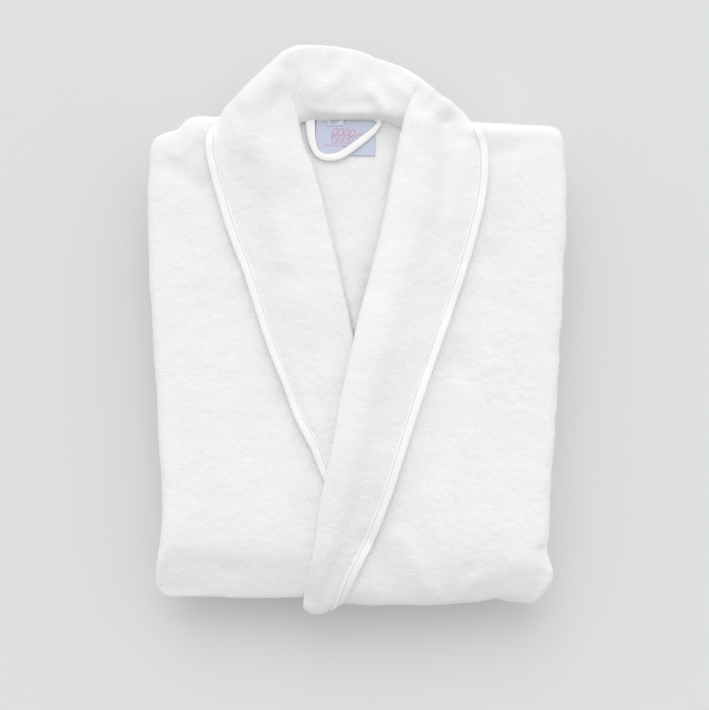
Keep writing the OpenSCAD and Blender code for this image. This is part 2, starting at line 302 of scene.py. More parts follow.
# half width of the upper third at each Y, left and right
HALF_WIDTH = {
    -1: table([(-245, 163), (-228, 167.5), (-215, 170), (-204, 169.5), (-182, 166.5), (-161, 164.5),
               (-102, 166.5), (-60, 168.5), (-17, 172), (10, 173.5), (68, 174.8), (100, 175.5), (153, 175.5),
               (190, 174.5)]),
    1: table([(-245, 158), (-232, 160.5), (-215, 162.5), (-204, 163.5), (-196, 162.5), (-178, 163.5),
              (-127, 165.2), (-84, 167.5), (-42, 169.8), (-8, 172), (29, 175.8), (67, 177), (130, 177),
              (153, 176), (190, 175)])}
# X of each lapel's inner edge at each Y
ROLL = {
    1: table([(-300, -50), (-255, -50), (-227, -47), (-207, -42), (-177, -36), (-122, -26), (-81, -17),
              (-43, -8), (2, 1), (31, 7), (66, 16), (98, 24), (136, 31), (160, 37), (200, 51)]),
    -1: table([(-300, 46), (-211, 44), (-177, 36), (-122, 26), (-81, 17), (-43, 8), (2, -1), (19, -5),
               (50, -12), (78, -19), (112, -29), (133, -36), (152, -45), (190, -54)])}


def place(s, x, z):
    """Carries the flat stack round the two folds. s runs along the cloth, 0 at the lower fold, positive up
    the upper third and negative down the skirt and hem. z is the layer's height in the upper third."""
    s, x, z = np.broadcast_arrays(s, x, z)
    P = np.empty(s.shape + (3,))
    P[..., 0] = x
    r = z - FOLD_Z
    a = np.clip(-s / FOLD_LENGTH, 0, 1) * math.pi
    y = np.where(s >= 0, FOLD_Y + s, FOLD_Y - r * np.sin(a) + np.maximum(-s - FOLD_LENGTH, 0))
    height = np.where(s >= 0, z, FOLD_Z + r * np.cos(a))
    past_knee = -s - FOLD_LENGTH - SKIRT_LENGTH
    knee_r = 2 * FOLD_Z - z - KNEE_Z
    b = np.clip(past_knee / KNEE_LENGTH, 0, 1) * math.pi
    hem_y = KNEE_Y + knee_r * np.sin(b) - np.maximum(past_knee - KNEE_LENGTH, 0)
    P[..., 1] = np.where(past_knee > 0, hem_y, y)
    P[..., 2] = np.where(past_knee > 0, KNEE_Z + knee_r * np.cos(b), height)
    return P


# soft hollows and ridges pressed into the upper third: x0, y0, x1, y1, width, height
STROKES = [(-168, -232, -140, -228, 16, -2.5), (11, -180, 30, -219, 11, -2.0), (38, -176, 68, -226, 9, 2.2),
           (96, -214, 140, -196, 12, 1.8), (157, -188, 150, -226, 5, -2.2), (84, -228, 92, -205, 8, -1.6),
           (170, -212, 166, -222, 7, 2.5), (-158, 138, -128, 122, 9, -2.0), (-150, 150, -134, 168, 7, 1.6),
           (-146, -196, -100, -204, 9, -1.6), (118, 150, 150, 160, 12, -1.2), (60, -120, 86, -30, 16, -2.6),
           (86, -30, 112, 60, 14, -2.2), (112, 60, 124, 150, 11, -1.8), (-96, 30, -62, -60, 10, -1.4),
           (-62, -60, -34, -122, 10, -1.8), (-128, 120, -104, 60, 9, -1.2)]


def strokes(x, y, rows):
    """Height of the hollows and ridges in rows at x, y. Each is a straight stroke with soft sides."""
    out = np.zeros(np.shape(x))
    for x0, y0, x1, y1, width, height in rows:
        dx, dy = x1 - x0, y1 - y0
        t = np.clip(((x - x0) * dx + (y - y0) * dy) / max(dx * dx + dy * dy, 1e-6), 0, 1)
        d2 = (x - x0 - t * dx) ** 2 + (y - y0 - t * dy) ** 2
        out += height * np.exp(-d2 / (width * width))
    return out


def lift(x, y):
    """How far the right front is raised where it crosses the left lapel."""
    up = 8.5 * smooth(y, -192, -100) * (1 - smooth(y, -30, 118))
    return up * (1 - smooth(x, 36, 84)) * smooth(x, -60, -38)


# how far the bottom edge stands back from the fold line (positive) or hangs past it, across the width
BOTTOM = table([(-200, 0), (-30, 0), (12, -3), (60, -3.2), (76, -2.2), (100, -0.5), (111, 0.5), (119, 2.2),
                (127, 0.3), (140, -1.6), (158, -3.6), (200, -3.6)])
# heights at which the top's softness and the rounding of the lower edge begin, and their spans
SOFT_FROM, SOFT_SPAN = 47, 18
ROUND_FROM, ROUND_SPAN = 41, 24


def warp(P):
    """Softness of the whole pack: sides droop, top swells, edges wander. P in mm, changed in place."""
    x, y, z = P[..., 0].copy(), P[..., 1].copy(), P[..., 2].copy()
    top = np.clip((z - SOFT_FROM) / SOFT_SPAN, 0, 1.25)
    half = np.where(x < 0, HALF_WIDTH[-1](y), HALF_WIDTH[1](y))
    from_side = np.clip(half - np.abs(x), 0, 200)
    flat = grid(x, y, 0)
    # the lower edge is rounded off, most of all at the left
    drop = 12.0 + 8.5 * (1 - smooth(x, -62, -8)) + 1.6 * noise(flat, 60, 17)
    drop = drop / (1 + np.exp(np.clip((y + 205.5) / 10, -30, 30)))
    swell = -2.4 * np.exp(-from_side / 13) + 0.8
    swell += 1.5 * fbm(flat, 95, 3, 3) + 0.55 * fbm(flat, 30, 2, 9)
    swell += strokes(x, y, STROKES)
    P[..., 2] += swell * top - drop * np.clip((z - ROUND_FROM) / ROUND_SPAN, 0, 1.2)
    # the sides wander, and the right one has a bulge with a waist above it near the bottom
    side = (np.abs(x) / 165) ** 3
    q = grid(np.sign(x) * 50, y, z * 2.2)
    P[..., 0] += np.sign(x) * side * (1.3 * noise(q, 46, 21) + 0.8 * noise(q, 17, 22) + 1.3)
    bulge = 4.2 * np.exp(-((y + 206) / 13) ** 2) - 2.2 * np.exp(-((y + 186) / 8) ** 2)
    P[..., 0] += (x > 0) * side * np.clip((z - 30) / 20, 0, 1) * bulge
    low = smooth(-y, 190, 214)
    P[..., 1] += low * BOTTOM(x)
    q = grid(x, z * 2, 0)
    P[..., 1] += low * (0.8 * noise(q, 42, 31) + 0.6 * noise(q, 15, 32))
    return P


# ---------------- mesh builders
def grid(x, y, z):
    """Points from arrays of x, y and z, or from numbers among them."""
    return np.stack(np.broadcast_arrays(x, y, z), -1).astype(float)


def unit(v):
    """The vectors v at length 1."""
    return v / np.maximum(np.linalg.norm(v, axis=-1, keepdims=True), 1e-9)


def square_to(ahead, v):
    """The vectors v turned square to the directions ahead, at length 1."""
    return unit(v - (v * ahead).sum(1, keepdims=True) * ahead)


def soften(line, times):
    """Evens out a line of points in place, apart from its ends."""
    for _ in range(times):
        line[1:-1] = (line[:-2] + 2 * line[1:-1] + line[2:]) / 4


def run_length(points):
    """Distance along a line of points, from its first to each of them."""
    return np.concatenate([[0], np.cumsum(np.linalg.norm(np.diff(points, axis=0), axis=1))])


def read_line(at, length, line):
    """Points at some distances along a line."""
    return np.stack([np.interp(at, length, column) for column in line.T], 1)


def normals(P, wrap_v=False):
    """Unit normals of the grid P. wrap_v joins the end of its second direction to the start."""
    if wrap_v:
        E = np.concatenate([P[:, -1:], P, P[:, :1]], 1)
        n = np.cross(np.gradient(E, axis=0), np.gradient(E, axis=1))[:, 1:-1]
    else:
        n = np.cross(np.gradient(P, axis=0), np.gradient(P, axis=1))
    return unit(n)


def quads(ni, nj, base, wrap_v=False, flip=False):
    """The four-sided faces of a grid of ni by nj points that starts at number base."""
    i, j = np.meshgrid(np.arange(ni - 1), np.arange(nj if wrap_v else nj - 1), indexing="ij")
    j2 = (j + 1) % nj
    here, ahead = base + i * nj, base + (i + 1) * nj
    f = np.stack([here + j, ahead + j, ahead + j2, here + j2], -1).reshape(-1, 4)
    return f[:, ::-1] if flip else f


def mesh(name, verts, faces, mat):
    """An object from points in mm and a list of face arrays."""
    me = bpy.data.meshes.new(name)
    faces = [np.asarray(f) for f in faces if len(f)]
    loops = np.concatenate([f.ravel() for f in faces])
    sizes = np.concatenate([np.full(len(f), f.shape[1]) for f in faces])
    me.vertices.add(len(verts))
    me.vertices.foreach_set("co", (np.asarray(verts) * 0.001).astype(np.float32).ravel())
    me.loops.add(len(loops))
    me.loops.foreach_set("vertex_index", loops.astype(np.int32))
    me.polygons.add(len(sizes))
    me.polygons.foreach_set("loop_start", np.concatenate([[0], np.cumsum(sizes)[:-1]]).astype(np.int32))
    me.polygons.foreach_set("loop_total", sizes.astype(np.int32))
    me.polygons.foreach_set("use_smooth", np.ones(len(sizes), bool))
    me.materials.append(mat)
    me.update(calc_edges=True)
    me.validate()
    o = bpy.data.objects.new(name, me)
    scene.collection.objects.link(o)
    return o


# layers below this height are mostly out of sight
PILE_FROM = 48.5


def pile(P, n, amount, seed):
    """P with tufts of pile up to about half a millimetre high, lower where the layer is out of sight."""
    if amount == 0:
        return P
    d = 0.22 * noise(P, 2.4, seed) + 0.16 * noise(P, 4.6, seed + 1) + 0.22 * fbm(P, 13, 2, seed + 2)
    x, y, z = np.abs(P[..., 0]), P[..., 1], P[..., 2]
    inside = (x < 150) & (y > -206) & (y < 146)
    d = d * np.where(z > PILE_FROM, 1, np.where(inside, 0, 0.4))
    return P + n * (amount * d)[..., None]


def shell(name, P, thick, mat, side=1, fuzz=1.0, seed=1, wrap_v=False, soft=(1, 1, 1, 1)):
    """A sheet of cloth with thickness round the grid P. side says which way its outside faces, fuzz how high
    its pile is, and soft whether it gets thinner at the start and end of each direction."""
    n = normals(P, wrap_v) * side
    ni, nj = P.shape[:2]
    T = np.broadcast_to(np.asarray(thick, float), (ni, nj)).copy()
    for k, factor in ((0, 0.45), (1, 0.82)):
        for wanted, edge in zip(soft, (T[k], T[-1 - k], T[:, k], T[:, -1 - k])):
            if wanted:
                edge *= factor
    outer = pile(P + n * T[..., None] / 2, n, fuzz, seed)
    inner = pile(P - n * T[..., None] / 2, -n, fuzz, seed + 40)
    points = np.concatenate([outer.reshape(-1, 3), inner.reshape(-1, 3)])
    count = ni * nj
    up = side > 0
    faces = [quads(ni, nj, 0, wrap_v, not up), quads(ni, nj, count, wrap_v, up)]

    def strip(idx, flip):
        """The faces that join the outer and inner points along one edge."""
        if wrap_v:
            idx = np.append(idx, idx[0])
        a, b = idx[:-1], idx[1:]
        f = np.stack([a, b, b + count, a + count], -1)
        return f[:, ::-1] if flip else f
    number = np.arange(count).reshape(ni, nj)
    faces += [strip(number[0], not up), strip(number[-1], up)]
    if not wrap_v:
        faces += [strip(number[:, 0], up), strip(number[:, -1], not up)]
    return mesh(name, points, faces, mat)


def tube(name, C, U, W, ru, rw, sides, shape=None):
    """A satin rod round the curve C. ru and rw are its radii along its cross axes U and W."""
    n = len(C)
    ang = np.linspace(0, 2 * math.pi, sides, endpoint=False)
    k = np.ones((n, sides)) if shape is None else shape(n, ang)
    ru, rw = np.broadcast_to(ru, n), np.broadcast_to(rw, n)
    P = C[:, None] + U[:, None] * (np.cos(ang)[None, :, None] * (ru[:, None] * k)[..., None]) \
        + W[:, None] * (np.sin(ang)[None, :, None] * (rw[:, None] * k)[..., None])
    a = np.arange(sides)
    b = (a + 1) % sides
    first_cap = np.stack([np.full(sides, n * sides), a, b], -1)
    last_cap = np.stack([np.full(sides, n * sides + 1), (n - 1) * sides + b, (n - 1) * sides + a], -1)
    faces = [quads(n, sides, 0, True, True), first_cap[:, ::-1], last_cap[:, ::-1]]
    return mesh(name, np.concatenate([P.reshape(-1, 3), C[:1], C[-1:]]), faces, SATIN)


STITCH_LENGTH, STITCH_GAP, STITCH_WIDTH, STITCH_HEIGHT = 2.1, 0.9, 0.24, 0.2


def stitches(name, row, up):
    """A row of sewn stitches along row, each a small raised bead of thread with six sides and four rings."""
    length = run_length(row)
    c = np.arange(STITCH_LENGTH / 2, length[-1] - STITCH_LENGTH / 2, STITCH_LENGTH + STITCH_GAP)
    middle = read_line(c, length, row)
    T = unit(read_line(c + 0.5, length, row) - middle)
    U = square_to(T, read_line(c, length, up))
    S = np.cross(T, U)
    # where each ring lies along the stitch, and how wide it is
    rings = [(-0.5, 0.25), (-0.3, 1.0), (0.3, 1.0), (0.5, 0.25)]
    hexagon = np.array([(1, 0), (0.7, 0.8), (-0.7, 0.8), (-1, 0), (-0.7, -0.8), (0.7, -0.8)])
    beads = np.stack([middle[:, None] + T[:, None] * (at * STITCH_LENGTH)
                      + S[:, None] * (hexagon[:, 0] * STITCH_WIDTH * wide)[None, :, None]
                      + U[:, None] * (hexagon[:, 1] * STITCH_HEIGHT * wide)[None, :, None]
                      for at, wide in rings], 1)
    base = np.arange(len(c))[:, None] * 24
    i, j = np.meshgrid(np.arange(3), np.arange(6), indexing="ij")
    j2 = (j + 1) % 6
    sides = np.stack([(i + 1) * 6 + j, (i + 1) * 6 + j2, i * 6 + j2, i * 6 + j], -1).reshape(1, -1, 4)
    caps = [base + np.array(ring) for ring in (range(6), range(23, 17, -1))]
    return mesh(name, beads.reshape(-1, 3), [(sides + base[..., None]).reshape(-1, 4), *caps], THREAD)


def spaced(a, b, step):
    """Evenly spaced values from a to b, about step apart and at least three."""
    return np.linspace(a, b, max(3, int(round(abs(b - a) / step)) + 1))


def attach(o, body, slot, *nodes):
    """Rides o on a body, in place of the frame's nodes."""
    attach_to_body(o, body)
    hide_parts(*nodes)


# ---------------- body panels
# places along the cloth: the knee fold's start, the shoulders' end, the joint between two pieces of one
# panel, and the hem's start and end
KNEE_START = -FOLD_LENGTH - SKIRT_LENGTH
S_TOP = 167 - FOLD_Y
S_MID = -FOLD_LENGTH - 175.0
S_HEM = KNEE_START - KNEE_LENGTH - (KNEE_Y - HEM_Y - HEM_WIDTH)
S_END = KNEE_START - KNEE_LENGTH - (KNEE_Y - HEM_Y)
FINE, COARSE = 1.7 * GRAIN, 4.5 * GRAIN
# height at which the shoulder ends close, and over what length
MOUTH_Z, MOUTH_LENGTH = 57.5, 11
# how far the sides of the fronts and of the back stay inside the pack's outline
FRONT_INSET, BACK_INSET = 1.6, 7.0
# the fronts' returned sides end this far from the middle
UNDER_EDGE = 40
# how far the fronts stop short of the lapels' inner edges, and where their own edges are below the waist
TUCK, STRAIGHT_EDGE = {-1: 9, 1: 7}, {-1: -35.0, 1: -39.0}
# how far the shoulder lines stand above the panels' straight ends at each X
LEFT_SHOULDER = table([(-178, -13), (-173, -6), (-169, -3), (-165, -1.2), (-160, 0), (-156, 0.8), (-152, 2),
                       (-149, 4.5), (-145, 9.5), (-140, 12.6), (-133, 13.8), (-60, 11)])
RIGHT_SHOULDER = table([(50, 9.5), (104, 8.6), (136, 6.8), (150, 6), (162, 5.6), (168, 4.5), (173, 1.5),
                        (178, -5)])
BACK_SHOULDER = table([(0, 15), (46, 14), (60, 4), (104, 2), (150, -1), (164, -6), (176, -12)])


def rows_s(s_hi, s_lo, fine, coarse):
    """Stations along the cloth, fine where the panel shows from above and close round the two folds."""
    cuts = [1e3, 0.0, -FOLD_LENGTH, KNEE_START, KNEE_START - KNEE_LENGTH, -1e4]
    out = [s_hi]
    for hi, lo, step in zip(cuts, cuts[1:], (fine, 1.8, coarse, 1.5, coarse)):
        a, b = min(s_hi, hi), max(s_lo, lo)
        if a > b + 1e-6:
            out += list(spaced(a, b, min(step, coarse))[1:])
    return np.array(out)


def half_width(s, side):
    """Half width of the pack at s: the outline above, a steadier one in the thirds below."""
    y = FOLD_Y + s
    above = HALF_WIDTH[side](np.maximum(y, FOLD_Y - 3))
    q = grid(7.0 * side, s, 0)
    below = 160.5 + 1.6 * noise(q, 70, 5) + 0.7 * noise(q, 24, 6)
    arc = np.sin(np.clip(-s / FOLD_LENGTH, 0, 1) * math.pi) ** 2
    return above + (below - above) * smooth(-s, 5, 60) - arc * (6.0 if side > 0 else 1.0)


def inner_edge(s, side):
    """Inner edge of a front, measured outwards from the middle: just under the lapel, or straight below."""
    return np.where(s > 0, side * ROLL[side](FOLD_Y + s) + TUCK[side], STRAIGHT_EDGE[side])


def shoulder_end(s, s_hi):
    """0 where the end of a panel begins to close, 1 at the end."""
    return np.clip((s - (s_hi - MOUTH_LENGTH)) / MOUTH_LENGTH, 0, 1)[:, None]


def panel(name, side, level, s_hi, s_lo, fine, seed, shoulder=None, soft=(0, 0, 1, 1)):
    """A front panel wrapped round one side of the pack. The upper third's have a shoulder line, where they
    close."""
    s = rows_s(s_hi, s_lo, fine, COARSE)
    top_z, low_z = level_z(level) + CLOTH / 2, level_z(FRONT_SIDE_LEVEL) + CLOTH / 2
    r, middle_z = (top_z - low_z) / 2, (top_z + low_z) / 2
    under = spaced(0, 1, COARSE / 110)
    arc = np.linspace(0, math.pi, max(7, int(math.pi * (r + 2) / (1.3 * GRAIN)) + 1))[1:-1]
    over = spaced(0, 1, fine / 165)
    half = half_width(s, side)[:, None] - FRONT_INSET
    turn = half - r
    X = np.concatenate([UNDER_EDGE + (turn - UNDER_EDGE) * under[None], turn + r * np.sin(arc)[None],
                        turn + (inner_edge(s, side)[:, None] - half + r) * over[None]], 1)
    Z = np.concatenate([low_z + 0 * under, middle_z - r * np.cos(arc), top_z + 0 * over])
    Z = np.broadcast_to(Z, X.shape).copy()
    if shoulder is not None:
        # the shoulder end closes like the mouth of a flat bag
        opening = np.sqrt(np.clip(1 - shoulder_end(s, s_hi)**2, 0.0, 1))
        Z = MOUTH_Z + (Z - MOUTH_Z) * (opening * 0.97 + 0.03)
        X = X - (X > half - 26) * (X - half + 26) * (1 - opening) * 0.3
    P = place(s[:, None], X * side, Z)
    if shoulder is not None:
        P[..., 1] += smooth(P[..., 1], 105, 165) * shoulder(P[..., 0]) * (s[:, None] > 0)
    P = warp(P)
    if shoulder is not None and side > 0:
        P[..., 2] += lift(P[..., 0], P[..., 1]) * (smooth(Z, 59, 63.5) * (s[:, None] > -20))
    return shell(name, P, CLOTH, TERRY, side=-side, seed=seed, soft=soft)


def finish_panel(o, nodes):
    """Bakes a panel's placement into its mesh and hides the frame's nodes that it stands for."""
    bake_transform(o)
    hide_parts(*nodes)


# side, its word, the level of the front's upper layer and its shoulder line
FRONTS = ((-1, "left", LEFT_LEVEL, LEFT_SHOULDER), (1, "right", RIGHT_LEVEL, RIGHT_SHOULDER))
for side, word, level, shoulder in FRONTS:
    o = panel(f"front_{word}_upper", side, level, S_TOP, S_MID, FINE, 3 + side, shoulder=shoulder)
    nodes = [f"front_{word}", f"waist_fold_{word}"]
    finish_panel(o, nodes)
    o = panel(f"front_{word}_skirt", side, level, S_MID, S_HEM, FINE * 1.5, 3 + side)
    nodes = [f"skirt_{word}", f"knee_fold_{word}", f"hem_{word}"]
    finish_panel(o, nodes)
# hem bands: the last width of each panel
for side, word, level, _ in FRONTS:
    o = panel(f"hem_band_{word}_cloth", side, level, S_HEM, S_END, 2.4 * GRAIN, 8 + side, soft=(0, 1, 1, 1))
    attach(o, "hem", "terry", f"hem_band_{word}")


# the back's inside seen in the neck opening has a few long creases
NECK_CREASES = [(25, 142, 16, 60, 8, 1.9), (-8, 150, -8, 80, 9, -1.0), (14, 60, 8, 20, 7, -1.2)]
# half width of the back's middle stretch, and how far from the middle its returned sides end
BACK_MIDDLE, BACK_UNDER = 58, 62


def neck_relief(x, y):
    """Height of the creases, and of the cloth rising to where the fronts meet."""
    rise = 6.5 * smooth(-y, -120, 4) * smooth(y, -150, -40) * np.exp(-(x + 2) ** 2 / 480)
    return strokes(x, y, NECK_CREASES) + rise


def back(name, s_hi, s_lo, fine, seed, closes=False, soft=(0, 0, 1, 1)):
    """The back panel: the widest layer, with both sides returned underneath it."""
    s = rows_s(s_hi, s_lo, fine, COARSE)
    top_z, low_z = level_z(BACK_LEVEL) + CLOTH / 2, level_z(BACK_SIDE_LEVEL) + CLOTH / 2
    r, middle_z = (top_z - low_z) / 2, (top_z + low_z) / 2
    u = spaced(0, 1, COARSE / 100)[None]
    arc = np.linspace(0, math.pi, 7)[1:-1][None]
    mid = spaced(-1, 1, fine / BACK_MIDDLE)[None]

    def side_row(half):
        """From the end of the side underneath, round the turn, to the middle stretch."""
        turn = half - r
        return [BACK_UNDER + (turn - BACK_UNDER) * u, turn + r * np.sin(arc),
                turn + (BACK_MIDDLE - half + r) * u[:, :-1]]
    left, right = [side_row(half_width(s, side)[:, None] - BACK_INSET) for side in (-1, 1)]
    middle = np.broadcast_to(BACK_MIDDLE * mid, (len(s), mid.size))
    X = np.concatenate([-x for x in left] + [middle] + [x[:, ::-1] for x in right[::-1]], 1)
    side_z = [low_z + 0 * u, middle_z - r * np.cos(arc), top_z + 0 * u[:, :-1]]
    Z = np.concatenate(side_z + [top_z + 0 * mid] + [z[:, ::-1] for z in side_z[::-1]], 1)
    Z = np.broadcast_to(Z, X.shape).copy()
    if closes:
        shut = 1 - np.sqrt(np.clip(1 - shoulder_end(s, s_hi)**2, 0, 1))
        Z = Z + (MOUTH_Z - Z) * shut * 0.95 * smooth(np.abs(X), 60, 100)
    P = place(s[:, None], X, Z)
    P[..., 1] += smooth(P[..., 1], 105, 165) * BACK_SHOULDER(np.abs(P[..., 0])) * (s[:, None] > 0)
    P = warp(P)
    P[..., 2] += ((s[:, None] > 0) & (Z > 56)) * neck_relief(P[..., 0], P[..., 1])
    return shell(name, P, CLOTH, TERRY, seed=seed, soft=soft)


o = back("back_upper", S_TOP, S_MID, FINE, 12, closes=True)
finish_panel(o, ["back_panel", "waist_fold_back"])
o = back("back_skirt", S_MID, S_HEM, FINE * 2, 12)
finish_panel(o, ["skirt_back", "knee_fold_back", "hem_back"])
o = back("hem_band_back_cloth", S_HEM, S_END, 2.6 * GRAIN, 13, soft=(0, 1, 1, 1))
attach(o, "hem", "terry", "hem_band_back")

# ---------------- shawl collar
# heights at which the collar lies on the two fronts
RIGHT_Z, LEFT_Z = level_z(RIGHT_LEVEL) + CLOTH + 0.2, level_z(LEFT_LEVEL) + CLOTH + 0.2
# columns of the collar's net
ROLL_COLUMN, EDGE_COLUMN = 3, 8


def station(rx, ry, ex, ey, h, zb, soft_roll=False):
    """Across the lapel from its hidden under layer, round the roll, to the piped edge. rx, ry is the roll,
    ex, ey the edge, h the height of the roll above zb."""
    R, E = np.array([rx, ry], float), np.array([ex, ey], float)
    W = np.linalg.norm(E - R)
    u, k = (E - R) / W, min(1, W / 60)
    rows = [(28 * k, 2.5), (12 * k, 2.5), (2.5 * k, 3.5)]
    if ry < -225:  # the rounded tip, highest along its middle
        rows += [(0, 3 + 0.3 * h), (4 * k, 0.72 * h), (0.30 * W, h), (0.62 * W, 0.97 * h),
                 (0.87 * W, 0.62 * h)]
    elif soft_roll:
        rows += [(0, 3 + 0.36 * h), (5 * k, 0.66 * h + 1), (0.38 * W, h), (0.66 * W, 0.78 * h + 0.6),
                 (0.88 * W, 4.8)]
    else:
        rows += [(0, 3 + h / 2), (4 * k, max(h - 1.3, 3)), (0.30 * W, h + 0.4), (0.60 * W, 0.42 * h + 1.6),
                 (0.86 * W, 4.3)]
    return [[*(R + u * d), zb + z] for d, z in rows + [(W, 3)]]


# stations of the right lapel from its tip up, of the stand behind the neck from right to left, given point
# by point, and of the left lapel from the neck down
RIGHT = [(-35, -268.5, -29, -269, 4.5), (-41, -264, -25.5, -265, 8.5), (-43.8, -251, -21.5, -254, 10),
         (-43.8, -233, -16.5, -235.5, 10.6), (-39.5, -212, -9.6, -214, 11), (-32.6, -177, 7.2, -181, 12.6),
         (-27.3, -143, 21.2, -146, 14.4), (-17.4, -100, 36.6, -98, 15.8), (-10.6, -60, 51.3, -52, 16.4),
         (-1.6, -20, 63.2, -18, 16.6), (5.6, 14, 74.4, 14, 16.6), (13.8, 46, 85.2, 46, 16.6),
         (22, 78, 94, 76, 16.4), (28.4, 108, 101.3, 106, 16.2), (34.6, 140, 105, 134, 15.8),
         (40.3, 166, 103, 158, 15.4), (45.5, 186, 97.5, 170, 15)]
NECK = [[(55, 168, 61), (54, 177, 67.5), (51, 188, 73), (50, 197, 76.5), (56, 199, 79.5), (68, 197, 79),
         (82, 186.5, 73), (92, 179, 66), (96.5, 174, 62)],
        [(48, 169, 60.5), (48.5, 176.5, 67.5), (49, 191, 73.5), (49, 202, 76.5), (53, 206.5, 78.5),
         (64, 200.5, 75.5), (79, 191, 65), (89, 182, 54), (93, 178, 48.5)],
        [(37, 173, 59), (37.5, 177, 66), (38, 184.5, 71.8), (39, 202, 73.2), (41.5, 215.6, 72.4),
         (48, 211.5, 70), (60, 202, 57.5), (73, 192, 48.5), (79, 186, 46)],
        [(24, 177.5, 58.5), (23, 180, 65.5), (22, 185, 70), (21, 202, 71.2), (22, 222.8, 70.4),
         (25, 222.2, 66), (33, 212, 56.5), (40, 201, 48.5), (43, 195, 46)],
        [(8, 178.5, 58.5), (6, 180.7, 65.5), (4, 186, 70), (2, 204, 71.4), (2, 230, 70.4), (3, 230, 65.5),
         (5, 218, 55.5), (7, 205, 48), (8, 196, 45.5)],
        [(-10, 178.5, 58.5), (-11, 180.7, 65.5), (-12, 186, 70.3), (-13, 205, 71.9), (-13, 232.6, 71),
         (-14, 232.6, 66), (-19, 220, 55.5), (-23, 206, 48), (-24, 196, 45.5)],
        [(-28, 178.5, 58.5), (-29, 181.3, 65.5), (-30, 187.5, 70.8), (-31, 207, 73.2), (-32, 234.2, 72.4),
         (-36, 232.4, 66.8), (-48, 220.5, 56.5), (-56, 206, 49), (-60, 197, 46.5)],
        [(-42, 178, 59), (-43, 183.5, 66), (-44, 194, 72.3), (-46, 214, 76.2), (-51, 232.4, 77.5),
         (-62, 226, 72), (-80, 211.8, 59), (-93.5, 199, 49.5), (-98.5, 192, 46.5)],
        [(-49, 175, 60.5), (-48.5, 183, 66.5), (-48, 198, 73), (-50, 214, 76.6), (-57.5, 228, 80),
         (-71, 220.5, 77), (-92, 203.5, 66), (-107, 189.5, 56), (-112.5, 182, 51)],
        [(-56, 168, 61), (-55.5, 177, 65.5), (-55, 188, 71), (-55.5, 197, 76), (-60, 207, 79.5),
         (-77, 203, 79), (-99, 190, 72), (-111.5, 178.5, 65), (-116, 173, 61.5)]]
LEFT = [(-52, 182, -120, 161, 15.5), (-48, 160, -120.4, 150, 13.6), (-38.4, 135, -115, 128, 12.5),
        (-30.4, 108, -108, 103, 11.2), (-24, 80, -99.5, 77, 10.3), (-16.6, 50, -88, 47, 9.8),
        (-9.4, 20, -78.5, 17, 9.2), (-3.4, -8, -68.6, -14, 7.4), (2.5, -38, -57, -42, 6.4),
        (9, -68, -45, -74, 5.2), (15, -98, -32.2, -98, 4.4), (20, -122, -21.4, -124, 3.2),
        (21, -143, -8, -145, 1.5)]
NET = np.array([station(*row, RIGHT_Z) for row in RIGHT] + NECK
               + [station(*row, LEFT_Z, True) for row in LEFT], float)
NECK_START, NECK_END = len(RIGHT), len(RIGHT) + len(NECK) - 1
# distances along the collar's stations, and across its columns
ALONG = np.concatenate([[0], np.cumsum(np.linalg.norm(
    np.diff(NET[:, (ROLL_COLUMN, EDGE_COLUMN)], axis=0), axis=-1).mean(1))])
ACROSS = np.concatenate([[0], np.cumsum(np.linalg.norm(np.diff(NET, axis=1), axis=-1).mean(0))])
# which way the net's normals have to be turned to face away from the hidden under layer
OUTWARD = -1

# soft folds of the collar, as in STROKES
CREASES = [(-46, 222, -47, 190, 9, -0.9), (-37, 187, -37, 189, 7, -1.2), (-30, 200, -8, 217, 6, 2.0),
           (-14, 188, 10, 191, 5, -1.8), (13, 200, 25, 184, 4.5, 2.2), (30, 206, 45, 197, 5, 1.4),
           (-22, 214, -18, 226, 5, -1.5), (10, 212, 15, 226, 5, -1.3), (-90, 192, -66, 209, 9, 1.8),
           (-68, 186, -58, 216, 6, -1.3), (58, 184, 72, 198, 7, -1.3), (74, 172, 76, 100, 9, -1.6),
           (88, 150, 84, 96, 7, 1.2), (-74, 150, -62, 60, 9, 1.3), (-92, 140, -82, 70, 8, -1.2)]


def collar_surface(t, u):
    """Points of the collar's middle layer at stations t and cross positions u."""
    rows = hermite(t, ALONG, NET)
    P = np.swapaxes(hermite(u, ACROSS, np.swapaxes(rows, 0, 1)), 0, 1)
    right = 1 - smooth(t, ALONG[NECK_START + 2], ALONG[NECK_START + 4])
    n = normals(P)
    chest = np.clip((P[..., 2] - 66) / 8, 0, 1)
    soft = 0.75 * fbm(P, 58, 3, 51) + 0.3 * noise(P, 19, 55)
    streak = grid(t[:, None] * 0.16, u[None], 0)
    soft += 0.75 * noise(streak, 13, 57)
    soft += 1.35 * strokes(P[..., 0], P[..., 1], CREASES) * smooth(P[..., 2], 58, 66)
    P = P + n * OUTWARD * (soft * (0.35 + 0.65 * chest))[..., None]
    x, y, z = P[..., 0], P[..., 1], P[..., 2]
    raised = lift(x, y) * right[:, None]
    # below the lower fold the lapel's end turns down with the cloth
    s = np.where(y < FOLD_Y, (y - FOLD_Y) * 0.60, y - FOLD_Y)
    P = warp(place(s, x, z))
    P[..., 2] += raised
    return P


def follow(o, body=None):
    """Rides o on a body or, without one, bakes its placement into its mesh."""
    if body:
        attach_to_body(o, body)
    else:
        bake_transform(o)


